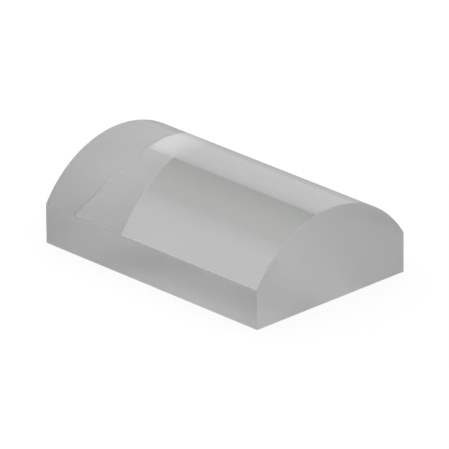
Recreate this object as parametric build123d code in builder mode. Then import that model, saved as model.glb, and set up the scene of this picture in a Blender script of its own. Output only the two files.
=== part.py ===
"""Plano-convex cylindrical lens, one block of optical glass resting on its flat face.

The convex face is part of a cylinder whose axis runs along X, so the lens bends light across Y
only. Z is the optical axis, up through the crest of the convex face. The origin is the middle of
the flat face. The convex face and the flat face are polished, and the four walls are ground.
Every sharp edge carries a narrow ground bevel against chipping.
"""

import os

from build123d import *

# Driving dimensions, in millimetres
lens_length = 30.0  # along the cylinder axis, between the two end walls
lens_width = 20.0  # across the curvature, between the two side walls
edge_thickness = 4.15  # height of the ground side walls
crown_height = 5.65  # rise of the convex face above the side walls
base_bevel = 0.12  # bevel between the flat face and the side walls
shoulder_bevel = 0.08  # bevel where the side walls meet the convex face
end_bevel = 0.12  # bevel all round each end wall

# Sizes that follow from them
half_width = lens_width / 2
centre_thickness = edge_thickness + crown_height
surface_radius = (half_width**2 + crown_height**2) / (2 * crown_height)

# Cross-section of the block, seen along the cylinder axis
with BuildSketch(Plane.YZ) as section:
    with BuildLine():
        base = Line((-half_width, 0), (half_width, 0))
        back_wall = Line(base @ 1, (half_width, edge_thickness))
        front_wall = Line(base @ 0, (-half_width, edge_thickness))
        SagittaArc(front_wall @ 1, back_wall @ 1, crown_height)
    make_face()
    heels, shoulders = section.vertices().group_by(Axis.Y)
    chamfer(heels, base_bevel)
    chamfer(shoulders, shoulder_bevel)

# The block is as long as the end walls are apart, and their rims are bevelled last,
# so that the bevels meet in a small facet at every corner
with BuildPart() as lens:
    extrude(section.sketch, amount=lens_length / 2, both=True)
    end_walls = lens.faces().filter_by(Axis.X)
    chamfer(end_walls.edges(), end_bevel)

lens.part.label = "cylindrical_lens"

os.makedirs("parts", exist_ok=True)
export_step(lens.part, "parts/cylindrical_lens.step")

print(f"convex face radius {surface_radius:.3f} mm, centre thickness {centre_thickness:.2f} mm")
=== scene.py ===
"""Plano-convex cylindrical lens, ground and polished from one block of fused silica.

The lens lies on its polished flat face, its convex face up, on a plain pale floor in soft light.
Lengths are in metres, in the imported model's frame: X along the axis of the convex face, Y across
the curvature, Z up the optical axis, with the origin in the middle of the flat face.
"""

import math

import bpy
import numpy as np
from bpy.props import FloatProperty, FloatVectorProperty, IntProperty, PointerProperty
from mathutils import Matrix, Vector


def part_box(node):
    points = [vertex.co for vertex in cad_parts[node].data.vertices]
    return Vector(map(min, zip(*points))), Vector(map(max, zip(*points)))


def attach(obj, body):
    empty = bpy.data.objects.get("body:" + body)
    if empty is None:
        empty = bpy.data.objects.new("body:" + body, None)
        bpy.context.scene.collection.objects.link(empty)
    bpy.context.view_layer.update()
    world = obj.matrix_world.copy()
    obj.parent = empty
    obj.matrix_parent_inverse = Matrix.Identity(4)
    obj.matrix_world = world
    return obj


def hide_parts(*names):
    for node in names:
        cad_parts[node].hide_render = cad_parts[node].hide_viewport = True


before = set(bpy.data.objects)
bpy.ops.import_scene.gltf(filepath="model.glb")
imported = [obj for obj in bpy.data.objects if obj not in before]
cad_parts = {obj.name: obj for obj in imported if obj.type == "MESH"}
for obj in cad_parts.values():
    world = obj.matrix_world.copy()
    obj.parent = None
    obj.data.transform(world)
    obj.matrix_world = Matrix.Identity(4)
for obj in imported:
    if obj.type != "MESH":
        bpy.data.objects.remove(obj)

bl_info = {
    "name": "Cylindrical lens",
    "version": (1, 0, 0),
    "blender": (4, 5, 0),
    "location": "3D View > Sidebar > Lens",
    "description": "Makes a plano-convex cylindrical lens with ground walls, and a pale studio for it",
    "category": "Add Mesh",
}

NODE = "cylindrical_lens"
BODY = "root"

# Kinds of surface: the stretches of the cross-section, and what is added to them elsewhere
BASE, HEEL, WALL, SHOULDER, CROWN, END = range(6)
FRONT, LEFT, RIGHT = 10, 20, 40

# Points along the rounding of a bevel's edge, and along the rounding of a shoulder
EDGE_POINTS = 3
SHOULDER_POINTS = 5

BLACK = (0.0, 0.0, 0.0, 1.0)
WHITE = (1.0, 1.0, 1.0, 1.0)

# The floor, in metres. It lies a hair below the glass, so that the two never touch.
FLOOR_HALF_SIDE = 4.0
FLOOR_GAP = 0.00003
FLOOR_COLOUR = (0.95, 0.95, 0.95, 1.0)
FLOOR_LIFT = 0.85  # share of plain white in the floor as the camera sees it

# Painted light and shade on the floor as it is seen through the glass: distances in metres, and how
# much lighter or, below zero, darker it is there
OUTLINE_BLUR = 0.0001
CONTACT_WIDTH = 0.0002
CONTACT_SHADE = -0.15
# Painted pool of light on the floor under the block, just inside the left end wall
POOL_FULL = 0.001  # from the left end wall
POOL_END = 0.0055
POOL_LIGHT = 0.34
FLANK_TURN = 0.004  # half of the stretch in which the painted shade beside the left end wall turns to painted light
FLANK_SHADE = -0.33
FLANK_LIGHT = 0.1

# Zones of the surroundings: the stretch of the direction's X, Y or Z over which each one sets in
BEHIND_Y = (0.0, 0.1)
LEFT_X = (-0.72, -0.88)
PATCH_X = (-0.50, -0.62)
OVERHEAD_Z = (0.68, 0.76)
HORIZON_Z = (0.12, 0.24)

# The zone behind the block, from the patch to nearly straight back: where it sets in on either
# side and where it turns from dim to bright, with how much dimmer and brighter it is
BACK_RIGHT_X = (-0.15, -0.30)
BACK_LEFT_X = (-0.62, -0.54)
BACK_RISE_Z = (0.42, 0.50)
BACK_DIM = -0.4
BACK_BRIGHT = 0.3

# Tone of the patch against the direction's Z: it darkens with height, and clears overhead
PATCH_TONES = (
    (0.0, (0.96, 0.96, 0.97)),
    (0.42, (0.96, 0.96, 0.97)),
    (0.468, (0.90, 0.905, 0.90)),
    (0.485, (0.880, 0.891, 0.876)),
    (0.5, (0.842, 0.855, 0.835)),
    (0.52, (0.808, 0.824, 0.798)),
    (0.56, (0.803, 0.819, 0.793)),
    (0.6, (0.785, 0.801, 0.776)),
    (0.64, (0.744, 0.759, 0.735)),
    (0.68, (0.680, 0.694, 0.672)),
    (0.80, (1.0, 1.0, 1.0)),
)

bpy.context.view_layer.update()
lens_low, lens_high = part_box(NODE)


class LensSizes(bpy.types.PropertyGroup):
    """Sizes of the glass block."""

    length: FloatProperty(
        name="Length",
        description="Between the two end walls, along the axis of the convex face",
        default=lens_high.x - lens_low.x,
        min=0.001,
        unit="LENGTH",
    )
    width: FloatProperty(
        name="Width",
        description="Between the two side walls, across the curvature",
        default=lens_high.y - lens_low.y,
        min=0.001,
        unit="LENGTH",
    )
    centre_thickness: FloatProperty(
        name="Centre thickness",
        description="From the flat face to the crest of the convex face",
        default=0.0098,
        min=0.0005,
        unit="LENGTH",
    )
    edge_thickness: FloatProperty(
        name="Edge thickness",
        description="Height of the side walls",
        default=0.00415,
        min=0.0002,
        unit="LENGTH",
    )
    base_bevel: FloatProperty(
        name="Base bevel",
        description="Bevel between the flat face and the side walls",
        default=0.00004,
        min=0.00001,
        unit="LENGTH",
    )
    end_bevel: FloatProperty(
        name="End bevel",
        description="Bevel all round each end wall",
        default=0.00004,
        min=0.00001,
        unit="LENGTH",
    )
    shoulder_radius: FloatProperty(
        name="Shoulder radius",
        description="Rounding where the side walls meet the convex face",
        default=0.00004,
        min=0.00001,
        unit="LENGTH",
    )
    edge_radius: FloatProperty(
        name="Edge radius",
        description="Rounding that grinding leaves on both sides of every bevel",
        default=0.00001,
        min=0.000001,
        unit="LENGTH",
    )
    arc_steps: IntProperty(
        name="Arc steps",
        description="Facets across the convex face",
        default=240,
        min=16,
    )
    length_steps: IntProperty(
        name="Length steps",
        description="Facets along the block",
        default=20,
        min=2,
    )
    wall_steps: IntProperty(
        name="Wall steps",
        description="Facets up a side wall",
        default=4,
        min=1,
    )


class LensFinish(bpy.types.PropertyGroup):
    """Glass and its two surface finishes."""

    index: FloatProperty(
        name="Refractive index",
        description="Of fused silica",
        default=1.458,
        min=1.3,
        max=2.0,
    )
    glass_tint: FloatVectorProperty(
        name="Glass tint",
        description="What is left of white light that crosses the block through two polished faces",
        default=(0.532, 0.533, 0.535),
        subtype="COLOR",
        min=0.0,
        max=1.0,
    )
    ground_tint: FloatVectorProperty(
        name="Ground tint",
        description="Grey of the ground walls",
        default=(0.61, 0.61, 0.61),
        subtype="COLOR",
        min=0.0,
        max=1.0,
    )
    ground_roughness: FloatProperty(
        name="Ground roughness",
        description="How widely a ground wall scatters the light that it lets through",
        default=0.9,
        min=0.0,
        max=1.0,
        subtype="FACTOR",
    )
    ground_clearness: FloatProperty(
        name="Ground clearness",
        description="Share of the light that a ground wall lets through",
        default=1.0,
        min=0.0,
        max=1.0,
        subtype="FACTOR",
    )


class StudioSizes(bpy.types.PropertyGroup):
    """Camera and light."""

    left_light: FloatProperty(
        name="Left light",
        description="How much brighter than the rest the surroundings are beyond the left end wall",
        default=0.68,
        min=0.0,
    )
    top_light: FloatProperty(
        name="Top light",
        description="How much brighter they are overhead",
        default=0.3,
        min=0.0,
    )
    horizon_tone: FloatProperty(
        name="Horizon tone",
        description="Grey of the surroundings close to the horizon",
        default=0.04,
        min=0.0,
        max=1.0,
        subtype="FACTOR",
    )
    mirrored_floor_tone: FloatProperty(
        name="Mirrored floor tone",
        description="Grey of the floor as the polished faces mirror it",
        default=0.42,
        min=0.0,
        max=1.0,
        subtype="FACTOR",
    )
    mirrored_tone: FloatProperty(
        name="Mirrored tone",
        description="Grey of the surroundings as the polished faces mirror them",
        default=0.58,
        min=0.0,
        max=1.0,
        subtype="FACTOR",
    )
    azimuth: FloatProperty(
        name="Azimuth",
        description="Camera's direction from the lens, turned from +X towards +Y",
        default=math.radians(-43.608),
        subtype="ANGLE",
    )
    elevation: FloatProperty(
        name="Elevation",
        description="Camera's height above the floor as an angle",
        default=math.radians(23.277),
        subtype="ANGLE",
    )
    roll: FloatProperty(
        name="Roll",
        description="Camera's turn about its own line of sight",
        default=math.radians(-0.515),
        subtype="ANGLE",
    )
    distance: FloatProperty(
        name="Distance",
        description="From the camera to the plane of the front bottom corner",
        default=0.7684,
        unit="LENGTH",
    )
    pixels_per_metre: FloatProperty(
        name="Scale",
        description="Pixels of the picture for each metre at the front bottom corner",
        default=10370.7,
    )
    picture_side: FloatProperty(
        name="Picture side",
        description="Width and height of the picture in pixels",
        default=449.0,
    )
    corner_column: FloatProperty(
        name="Corner column",
        description="Pixel column of the front bottom corner",
        default=256.645,
    )
    corner_row: FloatProperty(
        name="Corner row",
        description="Pixel row of the front bottom corner",
        default=329.864,
    )


class Wire:
    """One output of a node, so that sums on values are written as plain expressions."""

    def __init__(self, recipe, socket):
        self.recipe = recipe
        self.socket = socket

    def _math(self, operation, first, second):
        return self.recipe.node("ShaderNodeMath", {"operation": operation}, {0: first, 1: second})

    def __add__(self, other):
        return self._math("ADD", self, other)

    def __radd__(self, other):
        return self._math("ADD", other, self)

    def __sub__(self, other):
        return self._math("SUBTRACT", self, other)

    def __rsub__(self, other):
        return self._math("SUBTRACT", other, self)

    def __mul__(self, other):
        return self._math("MULTIPLY", self, other)

    def __rmul__(self, other):
        return self._math("MULTIPLY", other, self)

    def __abs__(self):
        return self._math("ABSOLUTE", self, 0.0)


class Recipe:
    """A node tree under construction, emptied first."""

    def __init__(self, tree):
        self.tree = tree
        tree.nodes.clear()

    def node(self, kind, settings=None, inputs=None, output=0):
        """Adds one node, gives it its settings, then its values and links, and returns one output."""
        made = self.tree.nodes.new(kind)
        for name, value in (settings or {}).items():
            if name == "stops":
                fill_ramp(made.color_ramp, value)
            else:
                setattr(made, name, value)
        for name, value in (inputs or {}).items():
            if isinstance(value, Wire):
                self.tree.links.new(value.socket, made.inputs[name])
            else:
                made.inputs[name].default_value = value
        if not made.outputs:
            return None
        return Wire(self, made.outputs[output])


def fill_ramp(ramp, stops):
    """Sets a colour ramp to these pairs of place and colour."""
    while len(ramp.elements) > 1:
        ramp.elements.remove(ramp.elements[-1])
    for count, (place, colour) in enumerate(stops):
        stop = ramp.elements[0] if count == 0 else ramp.elements.new(place)
        stop.position = place
        stop.color = (*colour, 1.0)


def blend(start, end, share):
    """Number that goes from start to end as the share goes from 0 to 1."""
    return start + (end - start) * share


def blend_colour(recipe, start, end, share):
    """Colour that goes from start to end as the share goes from 0 to 1, and no further."""
    return recipe.node(
        "ShaderNodeMix", {"data_type": "RGBA"}, {0: share, 6: start, 7: end}, output=2
    )


def soft_step(recipe, value, start, end):
    """0 up to the start, 1 from the end on, and smooth between them."""
    return recipe.node(
        "ShaderNodeMapRange",
        {"interpolation_type": "SMOOTHSTEP"},
        {"Value": value, "From Min": start, "From Max": end},
    )


def axis_part(recipe, vector, axis):
    """One coordinate of a place or a direction."""
    return recipe.node("ShaderNodeSeparateXYZ", inputs={0: vector}, output=axis)


def ray_kind(recipe, kind):
    """1 for rays of this kind, and 0 for the rest."""
    return recipe.node("ShaderNodeLightPath", output=kind)


def with_mirrored_tone(recipe, direct, tone):
    """The direct brightness, seen plainly or through glass, and an even tone off a surface."""
    gloss = ray_kind(recipe, "Is Glossy Ray")
    mirrored = gloss * (1.0 - ray_kind(recipe, "Is Transmission Ray"))
    return direct * (1.0 - mirrored) + tone * mirrored


def new_recipe(name):
    """An empty material of this name, and the recipe for its nodes."""
    material = bpy.data.materials.new(name)
    material.use_nodes = True
    return material, Recipe(material.node_tree)


def polished_glass(finish):
    """Bright polish: clear, with the faintest change in smoothness that pitch polishing leaves."""
    material, recipe = new_recipe("polished_glass")
    place = recipe.node("ShaderNodeTexCoord", output="Object")
    cloud = recipe.node(
        "ShaderNodeTexNoise",
        inputs={"Vector": place, "Scale": 240.0, "Detail": 2.0, "Roughness": 0.5},
    )
    shader = recipe.node(
        "ShaderNodeBsdfPrincipled",
        inputs={
            "Base Color": (*finish.glass_tint, 1.0),
            "Roughness": blend(0.002, 0.006, cloud),
            "IOR": finish.index,
            "Transmission Weight": 1.0,
        },
    )
    recipe.node("ShaderNodeOutputMaterial", inputs={"Surface": shader})
    return material


def ground_glass(finish):
    """Fine ground finish: grey and silky, slightly cloudy, with the grain of loose abrasive.

    The cloud only darkens: where its shade passes 1, the colour stays at the tint.
    """
    material, recipe = new_recipe("ground_glass")
    place = recipe.node("ShaderNodeTexCoord", output="Object")
    cloud = recipe.node(
        "ShaderNodeTexNoise",
        inputs={"Vector": place, "Scale": 260.0, "Detail": 3.0, "Roughness": 0.55},
    )
    grain = recipe.node(
        "ShaderNodeTexNoise",
        inputs={"Vector": place, "Scale": 9000.0, "Detail": 2.0, "Roughness": 0.6},
    )
    shade = blend(0.96, 1.04, cloud)
    smoothest, roughest = finish.ground_roughness - 0.03, finish.ground_roughness + 0.03
    relief = recipe.node(
        "ShaderNodeBump",
        inputs={"Strength": 0.15, "Distance": 0.00001, "Height": grain},
    )
    shader = recipe.node(
        "ShaderNodeBsdfPrincipled",
        inputs={
            "Base Color": blend_colour(recipe, BLACK, (*finish.ground_tint, 1.0), shade),
            "Roughness": blend(smoothest, roughest, cloud),
            "IOR": finish.index,
            "Transmission Weight": finish.ground_clearness,
            "Normal": relief,
        },
    )
    recipe.node("ShaderNodeOutputMaterial", inputs={"Surface": shader})
    return material


def rounded_corner(corner, before, after, radius, steps):
    """Points of the arc that rounds a corner, touching its two sides.

    Its middle lies on the bisector of the two sides' normals, radius over the cosine of half the
    turn inside the corner, and it is swept from the first normal to the second.
    """
    first = np.array([before[1], -before[0]]) / np.linalg.norm(before)
    second = np.array([after[1], -after[0]]) / np.linalg.norm(after)
    bisector = (first + second) / np.linalg.norm(first + second)
    middle = corner - bisector * radius / (bisector @ first)
    start = math.atan2(first[1], first[0])
    turn = math.acos(first @ second)
    turns = start + turn * np.linspace(0.0, 1.0, steps)
    return middle + radius * np.column_stack((np.cos(turns), np.sin(turns)))


def section_ring(sizes, inset):
    """The block's closed cross-section, drawn in by inset, and the stretch each of its steps is in.

    The section is the space inside a base line, two heel lines at 45 degrees, two walls and a
    circle, each moved inwards by inset, with its corners rounded. It runs from the end of the base
    up the back wall, over the crest and down the front wall, and the base closes it.
    """
    half_width = sizes.width / 2
    rise = sizes.centre_thickness - sizes.edge_thickness
    radius = (half_width**2 + rise**2) / (2 * rise)
    centre = sizes.centre_thickness - radius
    wall = half_width - inset
    arc = radius - inset
    heel = half_width - sizes.base_bevel - inset * math.sqrt(2.0)
    shoulder = centre + math.sqrt(arc**2 - wall**2)
    outwards = np.array([1.0, 0.0])
    sloping = np.array([1.0, 1.0])
    upwards = np.array([0.0, 1.0])
    over = np.array([centre - shoulder, wall])
    heel_foot = np.array([heel + inset, inset])
    heel_top = np.array([wall, wall - heel])
    wall_top = np.array([wall, shoulder])
    low = rounded_corner(heel_foot, outwards, sloping, sizes.edge_radius, EDGE_POINTS)
    high = rounded_corner(heel_top, sloping, upwards, sizes.edge_radius, EDGE_POINTS)
    top = rounded_corner(wall_top, upwards, over, sizes.shoulder_radius, SHOULDER_POINTS)
    side = np.linspace(high[-1], top[0], sizes.wall_steps + 1)[1:-1]
    start = math.atan2(top[-1][1] - centre, top[-1][0])
    turns = np.linspace(start, math.pi / 2, sizes.arc_steps // 2 + 1)[1:]
    crown = np.column_stack((arc * np.cos(turns), centre + arc * np.sin(turns)))
    back = np.vstack((low, high, side, top, crown))
    front = back[-2::-1] * np.array([-1.0, 1.0])
    counts = (len(low) + len(high) - 1, sizes.wall_steps, len(top) - 1, len(crown))
    rising = np.repeat((HEEL, WALL, SHOULDER, CROWN), counts)
    return np.vstack((back, front)), np.concatenate((rising, rising[::-1] + FRONT, [BASE]))


def stations(sizes):
    """Where each ring of the block stands along X, and how far its section is drawn in.

    The section keeps its size up to the end bevel, and is drawn in at 45 degrees along it. Both
    edges of the bevel are rounded. The right half is worked out, and the left half mirrors it.
    """
    half = sizes.length / 2
    along = np.array([1.0, 0.0])
    sloping = np.array([1.0, 1.0])
    inwards = np.array([0.0, 1.0])
    outer = np.array([half - sizes.end_bevel, 0.0])
    inner = np.array([half, sizes.end_bevel])
    start = rounded_corner(outer, along, sloping, sizes.edge_radius, EDGE_POINTS)
    end = rounded_corner(inner, sloping, inwards, sizes.edge_radius, EDGE_POINTS)
    body = np.linspace(np.zeros(2), start[0], sizes.length_steps // 2 + 1)
    right = np.vstack((body, start[1:], end))
    left = right[:0:-1] * np.array([-1.0, 1.0])
    both = np.vstack((left, right))
    return both[:, 0], both[:, 1]


def block_surface(sizes):
    """The whole closed block: its vertices, its faces, and the kind of surface each face is on.

    It is a surface of two parameters, the station along X and the place round the section. Each
    end wall is closed by strips that join the back and front of the last ring at equal heights.
    """
    places, insets = stations(sizes)
    rings = np.array([section_ring(sizes, inset)[0] for inset in insets])
    stretches = section_ring(sizes, 0.0)[1]
    count, around = rings.shape[:2]
    vertices = np.dstack((np.broadcast_to(places[:, None], (count, around)), rings))
    ring, step = np.mgrid[0 : count - 1, 0:around]
    here, beyond = step, (step + 1) % around
    corners = (ring * around + here, ring * around + beyond)
    next_ring = ((ring + 1) * around + beyond, (ring + 1) * around + here)
    quads = np.stack((*corners, *next_ring), axis=-1).reshape(-1, 4)
    rim = np.where(insets[:-1] + insets[1:] == 0.0, 0, np.where(places[1:] > 0.0, RIGHT, LEFT))
    kinds = (stretches[None, :] + rim[:, None]).reshape(-1)
    low = np.arange(around // 2 - 1)
    strips = np.stack((low + 1, low, around - 1 - low, around - 2 - low), axis=-1)
    tip = around // 2 + np.array([-1, 0, 1])
    last = (count - 1) * around
    left_wall = [*strips.tolist(), tip[::-1].tolist()]
    right_wall = [*(last + strips[:, ::-1]).tolist(), (last + tip).tolist()]
    ends = np.repeat((END + LEFT, END + RIGHT), len(left_wall))
    faces = [*quads.tolist(), *left_wall, *right_wall]
    return vertices.reshape(-1, 3), faces, np.concatenate((kinds, ends))


def part_surfaces(mesh, kinds):
    """Marks as sharp each edge between two kinds of surface, so that each is shaded by itself."""
    corner_edges = np.empty(len(mesh.loops), np.int32)
    mesh.loops.foreach_get("edge_index", corner_edges)
    sides = np.empty(len(mesh.polygons), np.int32)
    mesh.polygons.foreach_get("loop_total", sides)
    corner_kinds = np.repeat(kinds, sides)
    least = np.full(len(mesh.edges), kinds.max())
    most = np.zeros(len(mesh.edges), kinds.dtype)
    np.minimum.at(least, corner_edges, corner_kinds)
    np.maximum.at(most, corner_edges, corner_kinds)
    mesh.edges.foreach_set("use_edge_sharp", least != most)


def glass_mesh(sizes):
    """Puts the block's surface into a mesh, with polished faces in slot 0 and ground ones in 1."""
    vertices, faces, kinds = block_surface(sizes)
    mesh = bpy.data.meshes.new("glass_block")
    mesh.from_pydata(vertices.tolist(), [], faces)
    polished = np.isin(kinds, (BASE, CROWN, CROWN + FRONT))
    mesh.polygons.foreach_set("material_index", np.where(polished, 0, 1).astype(np.int32))
    mesh.shade_smooth()
    part_surfaces(mesh, np.where(kinds == CROWN + FRONT, CROWN, kinds))
    mesh.update()
    return mesh


class LENS_OT_glass_block(bpy.types.Operator):
    """Make the glass block with its polished and ground faces"""

    bl_idname = "lens.glass_block"
    bl_label = "Glass block"

    def execute(self, context):
        sizes = context.scene.lens_sizes
        finish = context.scene.lens_finish
        block = bpy.data.objects.new("glass_block", glass_mesh(sizes))
        context.scene.collection.objects.link(block)
        block.data.materials.append(polished_glass(finish))
        block.data.materials.append(ground_glass(finish))
        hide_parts(NODE)
        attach(block, BODY)
        return {"FINISHED"}


def floor_material(studio):
    """Pale matt floor. The camera and the glass see it lifted to white, and its shadow stays.

    Through the glass, light and shade are painted on it. Past the left end wall painted shade darkens
    it in front and painted light lightens it at the back. A thin painted contact shadow runs round the
    block, and a pool of light is painted on the floor just inside the left end wall, under the block.
    """
    material, recipe = new_recipe("pale_floor")
    seen = ray_kind(recipe, "Is Camera Ray")
    gloss = ray_kind(recipe, "Is Glossy Ray")
    through = ray_kind(recipe, "Is Transmission Ray")
    place = recipe.node("ShaderNodeTexCoord", output="Object")
    along = axis_part(recipe, place, "X")
    across = axis_part(recipe, place, "Y")
    past_end = abs(along) - lens_high.x
    past_side = abs(across) - lens_high.y
    past = recipe.node("ShaderNodeMath", {"operation": "MAXIMUM"}, {0: past_end, 1: past_side})
    # Painted contact shadow: a thin darker ring round the block's outline on the floor
    contact_shadow = soft_step(recipe, past, -CONTACT_WIDTH, 0.0) * soft_step(recipe, past, CONTACT_WIDTH, 0.0)
    wall = lens_low.x
    # Painted shade in front and painted light at the back, on the floor past the left end wall
    flank = soft_step(recipe, along, wall + OUTLINE_BLUR, wall - OUTLINE_BLUR)
    backwards = soft_step(recipe, across, -FLANK_TURN, FLANK_TURN)
    inside = soft_step(recipe, past, OUTLINE_BLUR, -OUTLINE_BLUR)
    # Painted pool of light on the floor under the block, just inside the left end wall
    painted_light_pool = inside * soft_step(recipe, along, wall + POOL_END, wall + POOL_FULL)
    shade = flank * blend(FLANK_SHADE, FLANK_LIGHT, backwards)
    # Painted light and shade, added to the floor only where the glass shows it
    painted_light_and_shade = (POOL_LIGHT * painted_light_pool + shade + CONTACT_SHADE * contact_shadow) * through
    brightness = with_mirrored_tone(recipe, 1.0 + painted_light_and_shade, studio.mirrored_floor_tone)
    matt = recipe.node("ShaderNodeBsdfDiffuse", inputs={"Color": FLOOR_COLOUR})
    white = recipe.node("ShaderNodeEmission", inputs={"Color": brightness})
    lift = FLOOR_LIFT * seen + gloss + through
    shader = recipe.node("ShaderNodeMixShader", inputs={0: lift, 1: matt, 2: white})
    recipe.node("ShaderNodeOutputMaterial", inputs={"Surface": shader})
    return material


def studio_world(world, studio):
    """White surroundings, dim at the horizon, with one broad light on the left and one overhead.

    Between the two lights the surroundings are dimmer, and the glass shows this patch as its dark
    rectangle. Right of the patch they are dimmer low down and brighter higher up. The polished
    faces mirror the whole as grey.
    """
    world.use_nodes = True
    recipe = Recipe(world.node_tree)
    direction = recipe.node("ShaderNodeTexCoord", output="Generated")
    along = axis_part(recipe, direction, "X")
    across = axis_part(recipe, direction, "Y")
    height = axis_part(recipe, direction, "Z")
    behind = soft_step(recipe, across, *BEHIND_Y)
    left = soft_step(recipe, along, *LEFT_X)
    patch = behind * soft_step(recipe, along, *PATCH_X) * (1.0 - left)
    patch_tone = recipe.node("ShaderNodeValToRGB", {"stops": PATCH_TONES}, {"Fac": height})
    tone = blend_colour(recipe, WHITE, patch_tone, patch)
    overhead = (1.0 - patch) * (1.0 - left) * soft_step(recipe, height, *OVERHEAD_Z)
    back = behind * soft_step(recipe, along, *BACK_RIGHT_X) * soft_step(recipe, along, *BACK_LEFT_X)
    rise = soft_step(recipe, height, *BACK_RISE_Z)
    back_light = back * blend(BACK_DIM, BACK_BRIGHT, rise)
    lights = 1.0 + studio.left_light * left + studio.top_light * overhead + back_light
    dimming = blend(studio.horizon_tone, 1.0, soft_step(recipe, height, *HORIZON_Z))
    brightness = with_mirrored_tone(recipe, lights * dimming, studio.mirrored_tone)
    light = recipe.node("ShaderNodeBackground", inputs={"Color": tone, "Strength": brightness})
    recipe.node("ShaderNodeOutputWorld", inputs={"Surface": light})


def aim_camera(studio):
    """Camera's turn and place, so that the front bottom corner falls on its pixel.

    The camera looks back along the direction given by azimuth and elevation, turned by the roll.
    It stands off the corner by the distance, and sideways by the corner's place in the picture.
    """
    turn, lift, roll = studio.azimuth, studio.elevation, studio.roll
    back = Vector((math.cos(turn) * math.cos(lift), math.sin(turn) * math.cos(lift), math.sin(lift)))
    level = Vector((-math.sin(turn), math.cos(turn), 0.0))
    upright = back.cross(level)
    right = math.cos(roll) * level + math.sin(roll) * upright
    up = math.cos(roll) * upright - math.sin(roll) * level
    middle = (studio.picture_side - 1) / 2
    sideways = (studio.corner_column - middle) / studio.pixels_per_metre
    upwards = (middle - studio.corner_row) / studio.pixels_per_metre
    corner = Vector((lens_high.x, lens_low.y, lens_low.z))
    place = corner - sideways * right - upwards * up + studio.distance * back
    turned = Matrix((right, up, back)).transposed().to_4x4()
    return Matrix.Translation(place) @ turned


class LENS_OT_studio(bpy.types.Operator):
    """Make the floor, the light and the camera"""

    bl_idname = "lens.studio"
    bl_label = "Studio"

    def execute(self, context):
        scene = context.scene
        studio = scene.studio_sizes
        far, low = FLOOR_HALF_SIDE, lens_low.z - FLOOR_GAP
        corners = [(-far, -far, low), (far, -far, low), (far, far, low), (-far, far, low)]
        mesh = bpy.data.meshes.new("floor")
        mesh.from_pydata(corners, [], [(0, 1, 2, 3)])
        floor = bpy.data.objects.new("floor", mesh)
        scene.collection.objects.link(floor)
        floor.data.materials.append(floor_material(studio))
        scene.world = bpy.data.worlds.new("studio")
        studio_world(scene.world, studio)
        eye = bpy.data.cameras.new("camera")
        eye.sensor_width = 36.0
        eye.lens = studio.pixels_per_metre * studio.distance * eye.sensor_width / studio.picture_side
        eye.clip_end = 20.0
        camera = bpy.data.objects.new("camera", eye)
        camera.matrix_world = aim_camera(studio)
        scene.collection.objects.link(camera)
        scene.camera = camera
        scene.view_settings.view_transform = "Standard"
        return {"FINISHED"}


class LENS_PT_panel(bpy.types.Panel):
    """Lists the steps and sizes in the sidebar"""

    bl_label = "Cylindrical lens"
    bl_idname = "LENS_PT_panel"
    bl_space_type = "VIEW_3D"
    bl_region_type = "UI"
    bl_category = "Lens"

    def draw(self, context):
        scene = context.scene
        for step in OPERATORS:
            self.layout.operator(step.bl_idname)
        for group in (scene.lens_sizes, scene.lens_finish, scene.studio_sizes):
            box = self.layout.box()
            for name in group.bl_rna.properties.keys():
                if name not in ("rna_type", "name"):
                    box.prop(group, name)


GROUPS = (LensSizes, LensFinish, StudioSizes)
OPERATORS = (LENS_OT_glass_block, LENS_OT_studio)
CLASSES = (*GROUPS, *OPERATORS, LENS_PT_panel)


def register():
    for item in CLASSES:
        bpy.utils.register_class(item)
    bpy.types.Scene.lens_sizes = PointerProperty(type=LensSizes)
    bpy.types.Scene.lens_finish = PointerProperty(type=LensFinish)
    bpy.types.Scene.studio_sizes = PointerProperty(type=StudioSizes)


def unregister():
    del bpy.types.Scene.studio_sizes
    del bpy.types.Scene.lens_finish
    del bpy.types.Scene.lens_sizes
    for item in reversed(CLASSES):
        bpy.utils.unregister_class(item)


def main():
    register()
    bpy.ops.lens.glass_block()
    bpy.ops.lens.studio()


if __name__ == "__main__":
    main()
